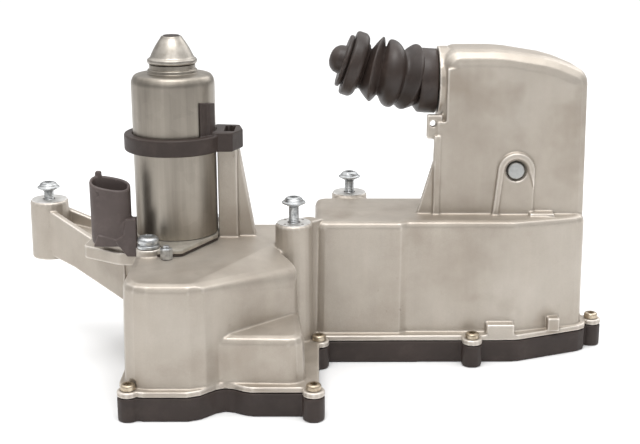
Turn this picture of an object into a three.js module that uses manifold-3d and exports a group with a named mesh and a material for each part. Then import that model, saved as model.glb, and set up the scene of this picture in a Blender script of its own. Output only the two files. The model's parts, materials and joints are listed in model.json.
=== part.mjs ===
// Electromechanical clutch actuator of an automated manual gearbox.
// A vertical motor turns a worm, the worm wheel's crank pushes a rod along the
// long housing, and a rocker in the tower hands the stroke to the push rod that
// leaves the tower through a rubber bellows.
// Millimetres, +X to the tower, +Y away from the front wall, +Z up from the cover.
import * as THREE from 'three';
import { mergeVertices } from 'three/addons/utils/BufferGeometryUtils.js';
import Module from 'manifold-3d';

const wasm = await Module();
wasm.setup();

// ---------------------------------------------------------------- dimensions
const GAP = 0.3;                 // clearance between pieces that touch
const WALL = 3;                  // wall of the casting
const COVER_TOP = 13;            // bottom cover, from the table up
const FLANGE_BOTTOM = COVER_TOP + GAP;
const FLANGE_TOP = 16.5;
const BULGE_TOP = 73;            // gear case, under the motor
const STEP_TOP = 42;             // low step in front of the gear case
const BODY_TOP = 84;             // long body
const BOSS_TOP = 86;             // the three mounting bosses
const BOLT_HOLE_R = 3.7;         // for M6
const MOTOR = { x: -79, y: 21, r: 23.5, bottom: 77.2, top: 169, wall: 1.5 };
const WORM = { root: 4.2, tip: 6.8, lead: 1.5 * Math.PI, z0: 35, z1: 53 };
const WHEEL = { x: -49, z: 44, y0: 15, y1: 27, teeth: 32, root: 22, tip: 25.2, travel: 70 };
const CRANK = { r: 18, pin: 3 }; // crank pin circle on the worm wheel, pin radius
const ROD = { y: 40, z: 62, r: 5, eye: 108.2 };
const ROCKER = { x: 118.5, y: 52, z: 110.4, lower: 48.4, pin: 5 };
const PUSH = { x: 73, y: 52, z: 159.3, tilt: 12, r: 5, head: 2.5, nose: 5 };
const BELLOWS = { z: 160, collarR: 19, seat: 73, seatR: 20.5, wall: 72.6 };
const MOTOR_SCREWS = { front: [-91, -15], back: [-60, 43] };
const EARTH_STUD = { x: -80, y: -23.3, r: 3.2, top: 82 };
const CONNECTOR = { x: -113, y: 0, bottom: 75.6, top: 112, long: 11.8, wide: 6.8 };
const CLAMP = { z0: 126, z1: 135.5, inner: 23.9, outer: 28.6 };
const BOARD = { x0: -88, x1: -22, y0: -50, y1: 6, z0: 14, z1: 15.6 };
// The gear case's slanting top edge falls away to a roll; its width and depth grow along it.
const ROLL = { from: [-59, -71], to: [-6.5, -23], wide: [5, 29], deep: [5, 16], inside: 0.9 };
const ARCH = { outer: 10.8, inner: 7.4, foot: 13.7, ridge: 27.4, face: 28.7, sunk: 32.6 };
const MOUNT_BOSSES = [
  { name: 'left', x: -162.4, y: 60, r: 11.5, bottom: 50, hole: 40, lift: 6.5 },
  { name: 'middle', x: -10.9, y: 6, r: 10.6, bottom: 16, hole: 56, lift: 10.8 },
  { name: 'back', x: 22.4, y: 78, r: 11, bottom: 16, hole: 56, lift: 9 },
];
const COVER_SCREWS = [
  [-96.2, -70.2], [0.7, -70.2], [3.4, 0.7], [92.8, 3.9], [169.7, 38.4],
  [160, 77], [80, 77], [0, 77], [-98, 58],
];
const degrees = Math.PI / 180;

// The crank turns the wheel's travel into the rod's stroke, and the rocker,
// square to its mean pull at half travel, hands it on to the push rod.
const STROKE = 2 * CRANK.r * Math.sin(WHEEL.travel / 2 * degrees);
const HALF_SWING = Math.asin(STROKE / 2 / ROCKER.lower);
const tilt = PUSH.tilt * degrees;
const ROCKER_UPPER = (PUSH.x - ROCKER.x) * Math.sin(tilt) + (PUSH.z - ROCKER.z) * Math.cos(tilt);

// ------------------------------------------------------------------- helpers
function solid(geometry) {
  const bare = geometry.index ? geometry.toNonIndexed() : geometry.clone();
  for (const name of Object.keys(bare.attributes)) {
    if (name !== 'position') bare.deleteAttribute(name);
  }
  const merged = mergeVertices(bare, 1e-4);
  return new wasm.Manifold(new wasm.Mesh({
    numProp: 3,
    vertProperties: new Float32Array(merged.attributes.position.array),
    triVerts: new Uint32Array(merged.index.array),
  }));
}

function geometryOf(body) {
  const mesh = body.getMesh();
  const geometry = new THREE.BufferGeometry();
  geometry.setAttribute('position', new THREE.BufferAttribute(mesh.vertProperties, 3));
  geometry.setIndex(new THREE.BufferAttribute(mesh.triVerts, 1));
  geometry.computeVertexNormals();
  return geometry;
}

const join = (...bodies) => bodies.flat().reduce((all, next) => all.add(next));
const cut = (body, ...tools) => tools.flat().reduce((left, next) => left.subtract(next), body);

function box(x0, x1, y0, y1, z0, z1) {
  const geometry = new THREE.BoxGeometry(x1 - x0, y1 - y0, z1 - z0);
  return solid(geometry.translate((x0 + x1) / 2, (y0 + y1) / 2, (z0 + z1) / 2));
}

// A shape from corners [x, y, radius]; each corner is rounded by its own arc.
function rounded(corners, arcStep = 45 * degrees) {
  const points = [];
  const put = (x, y) => {
    const last = points.at(-1);
    if (!last || Math.hypot(last.x - x, last.y - y) > 0.02) points.push(new THREE.Vector2(x, y));
  };
  const count = corners.length;
  corners.forEach(([x, y, r], i) => {
    const here = new THREE.Vector2(x, y);
    const before = new THREE.Vector2(...corners[(i + count - 1) % count]).sub(here);
    const after = new THREE.Vector2(...corners[(i + 1) % count]).sub(here);
    const half = Math.acos(before.dot(after) / before.length() / after.length()) / 2;
    if (!r) {
      put(x, y);
      return;
    }
    const from = before.clone().setLength(r / Math.tan(half)).add(here);
    const to = after.clone().setLength(r / Math.tan(half)).add(here);
    const middle = before.normalize().add(after.normalize()).setLength(r / Math.sin(half));
    const centre = middle.add(here);
    const start = Math.atan2(from.y - centre.y, from.x - centre.x);
    const end = Math.atan2(to.y - centre.y, to.x - centre.x);
    const turn = Math.atan2(Math.sin(end - start), Math.cos(end - start));
    const steps = Math.max(1, Math.round(Math.abs(turn) / arcStep));
    for (let k = 0; k <= steps; k += 1) {
      const angle = start + turn * k / steps;
      put(centre.x + r * Math.cos(angle), centre.y + r * Math.sin(angle));
    }
  });
  return new THREE.Shape(points);
}

// Upright prism of a shape. A top radius rounds its upper edge, and lean draws
// its walls in towards the point `about` by that part of their distance per mm.
function prism(shape, z0, z1, { top = 0, lean = 0, about = [0, 0] } = {}) {
  const geometry = new THREE.ExtrudeGeometry(shape, {
    depth: z1 - z0 - top, bevelEnabled: top > 0,
    bevelSize: top, bevelThickness: top, bevelOffset: -top, bevelSegments: 2,
  });
  geometry.translate(0, 0, z0);
  if (lean) {
    const place = geometry.attributes.position;
    for (let i = 0; i < place.count; i += 1) {
      const shrink = 1 - lean * (place.getZ(i) - z0);
      place.setX(i, about[0] + (place.getX(i) - about[0]) * shrink);
      place.setY(i, about[1] + (place.getY(i) - about[1]) * shrink);
    }
  }
  const body = solid(geometry);
  return top ? cut(body, box(-400, 400, -400, 400, z0 - top - 1, z0)) : body;
}

// Turned piece about +Z from a closed profile of [radius, z] points.
function turned(profile, segments = 20) {
  const points = profile.map(([r, z]) => new THREE.Vector2(r, z));
  if (points[0].x > 0) points.push(points[0].clone());
  const upright = () => new THREE.LatheGeometry(points, segments).rotateX(Math.PI / 2);
  const body = solid(upright());
  if (body.volume() > 0) return body;
  points.reverse();
  return solid(upright());
}

const rod = (r, z0, z1, segments = 20) => turned([[0, z0], [r, z0], [r, z1], [0, z1]], segments);
const ring = (r0, r1, z0, z1, segments = 20) => (
  turned([[r0, z0], [r1, z0], [r1, z1], [r0, z1]], segments));
const alongX = (body, x, y, z) => body.rotate([0, 90, 0]).translate([x, y, z]);
const alongY = (body, x, y, z) => body.rotate([-90, 0, 0]).translate([x, y, z]);
const at = (body, x, y, z = 0) => body.translate([x, y, z]);

// --------------------------------------------------------------- main housing
// Plan outlines, all counted from the front left, seen from above. An inset
// gives the inside of the wall, with coarser corners.
const arcOf = (inset) => (inset ? 62 : 32) * degrees;
const flangePlan = (inset = 0) => rounded([
  [-102.5 + inset, -74.4 + inset, 14 - inset], [-61, -74.4 + inset, 9 - inset],
  [-46.5, -60 + inset, 8], [-34, -68 + inset, 8 - inset], [3.5 - inset, -68 + inset, 6 - inset],
  [3.5 - inset, 6.5 + inset, 3], [119, 7.5 + inset, 12], [165 - inset, 26.4 + inset, 9 - inset],
  [165 - inset, 76 - inset, 9 - inset], [-4, 76 - inset, 5], [-10, 57 - inset, 5],
  [-102.5 + inset, 57 - inset, 9 - inset],
], arcOf(inset));
const bulgePlan = (inset = 0) => rounded([
  [-100 + inset, -71 + inset, 14 - inset], [ROLL.from[0] - inset / 3, ROLL.from[1] + inset, 12 - inset],
  [ROLL.to[0] - inset, ROLL.to[1], 5], [-20 - inset / 2, 2, 8], [4 - inset, 16, 8],
  [4 - inset, 53 - inset, 8], [-100 + inset, 53 - inset, 12 - inset],
], arcOf(inset));
const stepPlan = (inset = 0) => rounded([
  [-60, -61 + inset, 0], [-43, -62.3 + inset, 0], [-3 - inset, -64 + inset, 8 - inset],
  [-8 - inset, -8, 8 - inset], [-60, -8, 0],
], arcOf(inset));
const bodyPlan = (inset = 0) => rounded([
  [inset, 11 + inset, 6 - inset], [50.5, 11 + inset, 0], [54.5, 13.6 + inset, 0],
  [118, 13.4 + inset, 5], [161.5 - inset, 26 + inset, 8 - inset],
  [161.5 - inset, 72.5 - inset, 8 - inset], [inset, 72.5 - inset, 6 - inset],
], arcOf(inset));
// Side outline of the tower in X and Z: a flat top that falls away in an arc.
const towerProfile = (inset = 0) => rounded([
  [161.5 - inset, 60, 0], [159 - inset, 167 - inset * 0.7, 10 - inset],
  [138, 175.5 - inset, 40], [108, 180.3 - inset, 60], [74.6 + inset, 180.3 - inset, 10 - inset],
  [72 + inset, 60, 0],
], arcOf(inset) / 2);

function tower(inset = 0, round = 9) {
  const depth = 42.5 - 2 * inset;
  const geometry = new THREE.ExtrudeGeometry(towerProfile(inset), {
    depth: depth - 2 * round, bevelEnabled: round > 0,
    bevelSize: round, bevelThickness: round, bevelOffset: -round, bevelSegments: inset ? 1 : 3,
  });
  geometry.translate(0, 0, round).rotateX(Math.PI / 2).translate(0, 72.5 - inset, 0);
  return solid(geometry);
}

// A wedge-shaped web: its outline in a vertical plane, made `thick` wide.
function web(points, thick) {
  const shape = new THREE.Shape(points.map(([u, v]) => new THREE.Vector2(u, v)));
  const geometry = new THREE.ExtrudeGeometry(shape, { depth: thick, bevelEnabled: false });
  return solid(geometry.rotateX(Math.PI / 2).translate(0, thick, 0));
}

function mountingBoss({ x, y, r, bottom }) {
  const edge = 1.2;
  return at(turned([[0, bottom], [r + 0.5, bottom], [r, BOSS_TOP - edge],
    [r - edge, BOSS_TOP], [0, BOSS_TOP]], 20), x, y);
}

// The arm carries the left boss: a floor between two upright ribs that spread
// and fall from the boss to the gear case, with a shelf for the connector.
function leftArm() {
  const rib = (y0, y1) => {
    const side = [[-166, 54], [-166, 81], [-157, 80.3], [-128.8, 71.4], [-97, 62], [-97, 36], [-140, 49]];
    const turn = Math.atan2(y1 - y0, 65) / degrees;
    return web(side, 4).translate([162.4, 0, 0]).rotate([0, 0, turn]).translate([-162.4, y0, 0]);
  };
  const plan = [[-166, 50], [-160, 48], [-97, 4], [-97, 49], [-160, 70]];
  const plate = prism(new THREE.Shape(plan.map(([x, y]) => new THREE.Vector2(x, y))), 30, 90);
  const floor = web([[-168, 56], [-168, 72], [-97, 61], [-97, 50], [-140, 58]], 90);
  return join(
    plate.intersect(floor.translate([0, -5, 0])), rib(50, 2), rib(66, 47),
    prism(rounded([[-132, 8, 3], [-109, -7, 3], [-97, -7, 0], [-97, 25, 0], [-130, 28, 0]]), 64, 71.5),
    prism(rounded([[-126, 8, 3], [-108, -5, 3], [-103.5, -5, 0], [-103.5, 20, 0], [-124, 24, 0]]), 70, 75),
  );
}

// The arch round the cross pin: a pad with a raised ridge over its top and down
// its left leg, both legs splaying towards the body.
function archBoss() {
  const foot = BODY_TOP - 4;
  const pad = (r, spread, depth) => {
    const shape = new THREE.Shape();
    shape.moveTo(ROCKER.x - r - spread, foot);
    shape.lineTo(ROCKER.x + r, foot);
    shape.lineTo(ROCKER.x + r, ROCKER.z);
    shape.absarc(ROCKER.x, ROCKER.z, r, 0, Math.PI, false);
    const geometry = new THREE.ExtrudeGeometry(shape, {
      depth, bevelEnabled: false, curveSegments: 12,
    });
    return solid(geometry.rotateX(Math.PI / 2).translate(0, ARCH.sunk, 0));
  };
  const spread = ARCH.foot - ARCH.outer;
  const { x, z } = ROCKER;
  const reach = 2 * ARCH.outer;
  const belowRightEnd = web([[x, 0], [x + reach, 0], [x + reach, z - 3 * ARCH.outer],
    [x + ARCH.outer, z - ARCH.outer], [x + ARCH.inner, z], [x, z]], ARCH.sunk + reach);
  const ridge = cut(pad(ARCH.outer, spread, ARCH.sunk - ARCH.ridge),
    pad(ARCH.inner, spread, ARCH.sunk), belowRightEnd);
  return join(pad(ARCH.outer, spread, ARCH.sunk - ARCH.face), ridge);
}

// The wedge that cuts the gear case's slanting edge off, `deeper` inside it: a
// gentle slope down from the flat top, then a roll over into the wall.
function edgeRoll(deeper = 0) {
  const shape = new THREE.Shape();
  shape.moveTo(-1, 0.3);
  shape.lineTo(0.3, 0.3);
  shape.lineTo(0.3, -1);
  shape.lineTo(0, -1);
  shape.quadraticCurveTo(0, -0.4, -0.25, -0.3);
  shape.lineTo(-1, 0);
  const geometry = new THREE.ExtrudeGeometry(shape, {
    depth: 1, bevelEnabled: false, curveSegments: 8,
  });
  const from = new THREE.Vector2(...ROLL.from);
  const run = new THREE.Vector2(...ROLL.to).sub(from);
  const out = new THREE.Vector2(run.y, -run.x).normalize();
  from.addScaledVector(out, -deeper - ROLL.inside);
  const place = geometry.attributes.position;
  for (let i = 0; i < place.count; i += 1) {
    const [u, v, t] = [place.getX(i), place.getY(i), (1 - place.getZ(i)) * 1.15];
    const [wide, deep] = [ROLL.wide, ROLL.deep].map(([a, b]) => a + (b - a) * t);
    const spot = from.clone().addScaledVector(run, t).addScaledVector(out, u * wide);
    place.setXYZ(i, spot.x, spot.y, BULGE_TOP - deeper + v * deep);
  }
  return solid(geometry);
}

// The web that ties the middle boss to the corner of the long body.
function bossWeb() {
  const plan = [[-14, -4], [-6.9, 1.6], [-6.1, 2.6], [1.2, 11.4], [6, 16], [-2, 22], [-16, 14]];
  const shape = new THREE.Shape(plan.map(([x, y]) => new THREE.Vector2(x, y)));
  return prism(shape, FLANGE_BOTTOM, BODY_TOP + 1.2);
}

// Turned pieces on the push rod's axis: s counts outwards from the tower wall.
function alongPush(body) {
  return body.rotate([0, PUSH.tilt - 90, 0]).translate([PUSH.x, PUSH.y, PUSH.z]);
}

function mainHousing() {
  const outside = join(
    prism(flangePlan(), FLANGE_BOTTOM, FLANGE_TOP),
    COVER_SCREWS.map(([x, y]) => at(rod(6, FLANGE_BOTTOM, FLANGE_TOP, 12), x, y)),
    cut(prism(bulgePlan(), FLANGE_BOTTOM, BULGE_TOP, { top: 4, lean: 0.0004, about: [-50, -10] }),
      edgeRoll()),
    prism(stepPlan(), FLANGE_BOTTOM, STEP_TOP, { top: 4, lean: 0.0005, about: [-50, 0] }),
    prism(bodyPlan(), FLANGE_BOTTOM, BODY_TOP, { top: 3.5, lean: 0.0002, about: [80, 45] }),
    tower(),
    MOUNT_BOSSES.map(mountingBoss), bossWeb(),
    leftArm(),
    at(rod(25, 60, BULGE_TOP, 28), MOTOR.x, MOTOR.y),                    // land under the motor
    at(rod(7, 60, 77, 16), ...MOTOR_SCREWS.front),
    box(-54.8, -43.5, 19, 34, 60, CLAMP.z0 - GAP),                       // pillar of the clamp
    web([[-50, 70], [-45, 125], [-42.5, 125], [-33, 70]], 8).translate([0, 22, 0]),
    box(72, 84, 30, 40, 80, 139), box(77, 86, 30, 40, 130, 170),         // crisp front left edge
    box(70.3, 74, 29, 33, 80, 131),                                      // rib on that edge
    web([[60, 80], [73.5, 127], [76, 127], [76, 80]], 5).translate([0, 31, 0]),
    archBoss(),
    alongX(rod(BELLOWS.seatR, 0, 6, 24), BELLOWS.seat, PUSH.y, BELLOWS.z), // bellows seat
    box(66, 75, 31, 36, 129, 143),                                       // lug under the seat
    box(127, 141, 24, 33, 80, 86),                                       // pad beside the arch
    box(101.7, 118, 7.6, 14.5, 16, 22.8), box(139, 146, 15.5, 23, 16, 24), // pads over the flange
  );
  const hollow = join(
    cut(prism(bulgePlan(WALL), 10, BULGE_TOP - WALL), edgeRoll(WALL)),
    prism(stepPlan(WALL), 10, STEP_TOP - WALL),
    prism(bodyPlan(WALL), 10, BODY_TOP - WALL),
    tower(WALL, 6),
    box(-6, 8, 26, 49, 10, 75),                                          // window between cases
  );
  // Solid lands that stay inside: columns, rod guides, axle webs and bearing seats.
  const kept = join(
    at(rod(9, 16, 85, 14), -10.9, 6), at(rod(9.5, 16, 85, 14), 22.4, 78),
    box(2, 9, 13.5, 71, 20, 83), box(84, 92, 13.5, 71, 20, 83),
    at(rod(11, 62, 72, 16), MOTOR.x, MOTOR.y),
    box(WHEEL.x - 8, WHEEL.x + 8, 4, 10, 34, 72), box(WHEEL.x - 8, WHEEL.x + 8, 45, 51, 34, 72),
    alongY(rod(9, 0, 6, 16), ROCKER.x, 29, ROCKER.z),
    alongY(rod(9, 0, 9, 16), ROCKER.x, 63, ROCKER.z),
    alongX(rod(15, 0, 10), 73, PUSH.y, BELLOWS.z),
  );
  const openings = join(
    MOUNT_BOSSES.map(({ x, y, hole }) => at(rod(BOLT_HOLE_R, hole, 95, 16), x, y)),
    COVER_SCREWS.map(([x, y]) => at(rod(2.3, 0, 18, 8), x, y)),
    COVER_SCREWS.map(([x, y]) => at(rod(4.5, FLANGE_TOP, 21, 12), x, y)),   // room for the heads
    alongX(rod(7, -60, 120, 16), 0, ROD.y, ROD.z),
    at(rod(8.4, 50, 80, 16), MOTOR.x, MOTOR.y),
    alongY(rod(5.3, 0, 45.2, 16), WHEEL.x, 5.6, WHEEL.z),
    alongY(rod(ROCKER.pin + GAP, 0, 58), ROCKER.x, 18, ROCKER.z),
    alongY(rod(6.3, 0, 12.6), ROCKER.x, 18, ROCKER.z),
    alongPush(rod(10.3, -12, 14)),
    at(rod(3.2, 62, 80, 12), ...MOTOR_SCREWS.front),
    at(rod(2.3, 62, 80, 10), ...MOTOR_SCREWS.back),
    alongY(rod(2, 0, 16, 10), 69.5, 25, 138),
  );
  return cut(join(cut(outside, hollow), kept.intersect(outside)), openings);
}

// ------------------------------------------------------------ cover and seals
function bottomCover() {
  const posts = COVER_SCREWS.map(([x, y]) => at(rod(6, 0, COVER_TOP, 12), x, y));
  const inner = prism(flangePlan(7), WALL, COVER_TOP + 1);
  const groove = cut(prism(flangePlan(3.7), COVER_TOP - 2, COVER_TOP + 1),
    prism(flangePlan(5.5), COVER_TOP - 3, COVER_TOP + 2));
  const bores = COVER_SCREWS.map(([x, y]) => at(rod(2.3, 5, COVER_TOP + 1, 8), x, y));
  const boardPosts = [[-78, -40], [-32, -4]].map(([x, y]) => (
    at(rod(3, 1, BOARD.z0 - GAP, 10), x, y)));
  return cut(join(cut(join(prism(flangePlan(), 0, COVER_TOP), posts), inner, groove),
    boardPosts), bores);
}

function coverSeal() {
  return cut(prism(flangePlan(4), COVER_TOP - 1.7, COVER_TOP + 0.1),
    prism(flangePlan(5.2), COVER_TOP - 3, COVER_TOP + 2));
}

// A screw standing on z = 0: shank below, round head above, as a turned piece.
function screw({ shank, length, headR, headH, washerR = 0, washerH = 0 }, segments = 10) {
  const edge = headH * 0.45;
  return turned([
    [0, -length], [shank, -length], [shank, 0],
    ...(washerR ? [[washerR, 0], [washerR, washerH]] : []),
    [headR, washerH], [headR, washerH + headH - edge],
    [headR * 0.72, washerH + headH], [0, washerH + headH],
  ], segments);
}

// ----------------------------------------------------------------- the motor
function motorCan() {
  const { r, bottom, top, wall } = MOTOR;
  const neck = 13.6;
  return at(turned([
    [r - wall, bottom], [r, bottom], [r, top - 4], [r - 1.2, top - 1.2], [r - 4, top],
    [neck, top], [neck, top + 2], [neck - 1, top + 2.6], [neck - 1, top + 4.2], [neck, top + 4.6],
    [neck, top + 6], [4, top + 6], [4, top - 2], [8.6, top - 2], [8.6, top - 9], [10.5, top - 9],
    [12, top - wall - 1], [r - wall, top - 5],
  ], 26), MOTOR.x, MOTOR.y);
}

function motorCone() {
  return at(turned([
    [0, 175.4], [13.6, 175.4], [13.6, 176.2], [12.2, 177.2], [4.8, 189.4], [3.5, 189.8],
    [3.5, 186], [0, 186],
  ], 20), MOTOR.x, MOTOR.y);
}

function motorPlate(z0, z1, shaftHole) {
  const outline = rounded([
    [-97, -8, 4], [-99, -21, 5], [-72, -19, 3], [-55.2, 13, 3], [-55.2, 48, 4],
    [-66, 50, 5], [-90, 44, 6],
  ]);
  return cut(
    join(prism(outline, z0, z1), at(rod(23.9, z0, z1, 24), MOTOR.x, MOTOR.y)),
    at(rod(7.4, z0 - 1, z1 + 1, 16), ...MOTOR_SCREWS.front),
    at(rod(2.6, z0 - 1, z1 + 1, 10), ...MOTOR_SCREWS.back),
    at(rod(shaftHole, z0 - 1, z1 + 1, 16), MOTOR.x, MOTOR.y),
  );
}

// Left-hand thread: the section's one tooth turns backwards as it rises.
function wormThread() {
  const angles = [-120, -72, -40, 0, 40, 72, 120, 180];
  const section = angles.map((a) => {
    const r = Math.abs(a) < 60 ? WORM.tip : WORM.root;
    return new THREE.Vector2(r * Math.cos(a * degrees), r * Math.sin(a * degrees));
  });
  const turns = (WORM.z1 - WORM.z0) / WORM.lead;
  const geometry = new THREE.ExtrudeGeometry(new THREE.Shape(section), {
    depth: WORM.z1 - WORM.z0, steps: Math.round(turns * 8), bevelEnabled: false,
  });
  const place = geometry.attributes.position;
  const crest = WHEEL.z + WORM.lead / 2;               // a crest half a pitch above a tooth
  const v = new THREE.Vector3();
  for (let i = 0; i < place.count; i += 1) {
    v.fromBufferAttribute(place, i);
    v.z += WORM.z0;
    v.applyAxisAngle(new THREE.Vector3(0, 0, 1), -2 * Math.PI * (v.z - crest) / WORM.lead);
    place.setXYZ(i, v.x, v.y, v.z);
  }
  return solid(geometry);
}

const wormShaft = () => at(join(wormThread(), rod(4, WORM.z1 - 1, 77, 12),
  rod(4.1, WORM.z0 - 4, WORM.z0 + 1, 12), rod(3, 24, WORM.z0 - 3, 12), rod(3, 76, 168, 12),
), MOTOR.x, MOTOR.y);

function magnet(from, to) {
  const shape = new THREE.Shape();
  shape.absarc(0, 0, MOTOR.r - MOTOR.wall - GAP, from * degrees, to * degrees, false);
  shape.absarc(0, 0, 17.2, to * degrees, from * degrees, true);
  const geometry = new THREE.ExtrudeGeometry(shape, {
    depth: 44, bevelEnabled: false, curveSegments: 8,
  });
  return solid(geometry.translate(MOTOR.x, MOTOR.y, 95));
}

// ------------------------------------------------------------- the gear train
function wormWheel() {
  const pitch = 2 * Math.PI / WHEEL.teeth;
  const shape = new THREE.Shape();
  for (let k = 0; k < WHEEL.teeth; k += 1) {
    const corners = [[WHEEL.root, -1.35], [WHEEL.tip, -0.55], [WHEEL.tip, 0.55], [WHEEL.root, 1.35]];
    for (const [r, half] of corners) {
      const angle = k * pitch + half / r;
      const point = [r * Math.cos(angle), r * Math.sin(angle)];
      if (shape.curves.length || shape.currentPoint.lengthSq()) shape.lineTo(...point);
      else shape.moveTo(...point);
    }
  }
  const geometry = new THREE.ExtrudeGeometry(shape, {
    depth: WHEEL.y1 - WHEEL.y0, bevelEnabled: false,
  });
  const blank = alongY(solid(geometry), WHEEL.x, WHEEL.y0, WHEEL.z);
  return cut(blank, alongY(rod(5.3, -1, 20, 16), WHEEL.x, WHEEL.y0, WHEEL.z),
    alongY(rod(CRANK.pin + GAP, -1, 20, 12), CRANK_PIN.x, WHEEL.y0, CRANK_PIN.z));
}

const restAngle = WHEEL.travel / 2 * degrees;
const CRANK_PIN = {
  x: WHEEL.x - CRANK.r * Math.sin(restAngle), z: WHEEL.z + CRANK.r * Math.cos(restAngle),
};

// Yoke, rod, spring collar and slotted eye are one forging.
function thrustRod() {
  const slot = CRANK.pin + 0.5;
  const eyeSlot = 3.4;
  const { y, z, eye } = ROD;
  return cut(join(
    box(CRANK_PIN.x - 7.2, CRANK_PIN.x + 7.2, y - 3.5, y + 3.5, 51.6, 69.3),
    alongX(rod(ROD.r, CRANK_PIN.x + 6, eye - 6, 16), 0, y, z),
    alongX(rod(12.5, 57, 60), 0, y, z),
    box(eye - 7.5, eye + 7.5, y - 4, y + 4, 54, 70),
  ), box(CRANK_PIN.x - slot, CRANK_PIN.x + slot, y - 9, y + 9, 55, 66),
  box(eye - eyeSlot, eye + eyeSlot, y - 9, y + 9, 58, 67.2));
}

function spring() {
  class Helix extends THREE.Curve {
    getPoint(t, target = new THREE.Vector3()) {
      const turn = 2 * Math.PI * 5 * t;
      return target.set(11.6 + 43 * t, ROD.y + 9.6 * Math.cos(turn), ROD.z + 9.6 * Math.sin(turn));
    }
  }
  const wire = new THREE.Shape(new THREE.EllipseCurve(0, 0, 1.7, 1.7).getPoints(6).slice(0, 6));
  return solid(new THREE.ExtrudeGeometry(wire, {
    steps: 50, bevelEnabled: false, extrudePath: new Helix(),
  }));
}

// The rocker's plate: hub on the cross pin, an arm down to the rod, one up to the push rod.
function rocker() {
  const { x, y, z, lower } = ROCKER;
  const low = [x - lower * Math.sin(HALF_SWING), z - lower * Math.cos(HALF_SWING)];
  const high = [x + ROCKER_UPPER * Math.sin(tilt + HALF_SWING),
    z + ROCKER_UPPER * Math.cos(tilt + HALF_SWING)];
  const arm = ([ax, az], half) => {
    const way = Math.atan2(ax - x, az - z) / degrees;
    const long = Math.hypot(ax - x, az - z);
    return box(-half, half, -3.5, 3.5, 0, long).rotate([0, way, 0]).translate([x, y, z]);
  };
  return cut(join(
    alongY(rod(9, -6, 6), x, y, z), arm(low, 4.5), arm(high, 3),
    alongY(rod(6, -3.5, 3.5, 16), low[0], y, low[1]),
    alongY(rod(PUSH.nose, -4, 4, 16), high[0], y, high[1]),
    alongY(rod(2.8, -15.5, 0, 12), low[0], y, low[1]),
  ), alongY(rod(ROCKER.pin + GAP, -20, 20), x, y, z));
}

// Where the rocker's nose meets the push rod's head, at rest.
const noseAt = (PUSH.x - ROCKER.x) * Math.cos(tilt) - (PUSH.z - ROCKER.z) * Math.sin(tilt)
  - ROCKER_UPPER * Math.sin(HALF_SWING);
const headStart = noseAt + PUSH.nose + GAP;

const pushRod = () => alongPush(join(
  rod(7, headStart, headStart + PUSH.head), rod(PUSH.r, headStart + 1, 53.2, 16)));

const thrustDisc = () => alongPush(turned([
  [PUSH.r + GAP, 48.2], [17.5, 48.2], [19.2, 49.5], [19.2, 52.2], [18, 53.4], [PUSH.r + GAP, 53.4],
], 20));

const tipCap = () => alongPush(turned([
  [0, 53.7], [9, 53.7], [11, 55.3], [15.3, 55.3], [15.3, 57.6], [8.3, 58], [7.9, 61],
  [5.8, 63.6], [3, 64.7], [0, 64.7],
], 18));

function bellows() {
  const bore = 7.6;
  const folds = alongPush(turned([
    [bore, 10], [17, 12.4], [16.2, 14.5], [19.7, 18], [15.4, 23], [19.7, 28.3], [14.3, 33],
    [18.6, 36.9], [12.3, 43.6], [13.5, 47.8], [bore, 47.8],
  ], 20));
  const collar = alongX(turned([
    [10, 0], [BELLOWS.collarR, 0], [BELLOWS.collarR, 9.4], [17.5, 10.4], [10, 10.4],
  ], 20).rotate([180, 0, 0]), BELLOWS.wall, PUSH.y, BELLOWS.z);
  return cut(join(folds, collar), alongPush(rod(bore, -20, 60)));
}

// -------------------------------------------------------- clamp and connector
function strapClamp() {
  const { z0, z1, inner, outer } = CLAMP;
  const shape = new THREE.Shape();
  shape.absarc(0, 0, inner + 2.6, -58 * degrees, -14 * degrees, false);
  shape.absarc(0, 0, inner, -14 * degrees, -58 * degrees, true);
  const tongue = solid(new THREE.ExtrudeGeometry(shape, {
    depth: 24, bevelEnabled: false, curveSegments: 6,
  }).translate(MOTOR.x, MOTOR.y, z0 + 3));
  const block = prism(rounded([[-57, 9, 2], [-42, 11, 2], [-40.5, 35, 2], [-57, 37, 2]]), z0, z1 + 1.5);
  return cut(join(
    at(rod(outer, z0, z1, 32), MOTOR.x, MOTOR.y), block, tongue,
  ), at(rod(inner, z0 - 5, z1 + 30, 32), MOTOR.x, MOTOR.y),
  prism(rounded([[-50.5, 15, 1], [-44, 15, 1], [-44, 31, 1], [-50.5, 31, 1]]), z0 + 2, z1 + 5));
}

function oval(grow) {
  const shape = new THREE.Shape();
  shape.absellipse(0, 0, CONNECTOR.long + grow, CONNECTOR.wide + grow, 0, 2 * Math.PI);
  return shape;
}

function connectorShell() {
  const { x, y, bottom, top } = CONNECTOR;
  const tube = (grow, z0, z1) => at(solid(new THREE.ExtrudeGeometry(oval(grow), {
    depth: z1 - z0, bevelEnabled: false, curveSegments: 12,
  })), x, y, z0);
  const wing = web([[-110, 76], [-110, 84], [-103, 99], [-101, 99], [-101, 76]], 6);
  return cut(join(
    tube(0, bottom, top), box(x - 6, x - 3, y + CONNECTOR.wide - 2, y + CONNECTOR.wide + 1, 90, top + 5),
    wing.translate([0, y - 3, 0]),
  ), tube(-1.8, bottom + 8, top + 9));
}

const terminalBlock = () => join(
  box(-119, -107, -2.2, 2.2, CONNECTOR.bottom + 8.3, CONNECTOR.bottom + 10),
  [-117.5, -114.5, -111.5, -108.5].map((x) => (
    box(x - 0.4, x + 0.4, -0.9, 0.9, CONNECTOR.bottom + 9.5, CONNECTOR.bottom + 21))));

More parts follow.
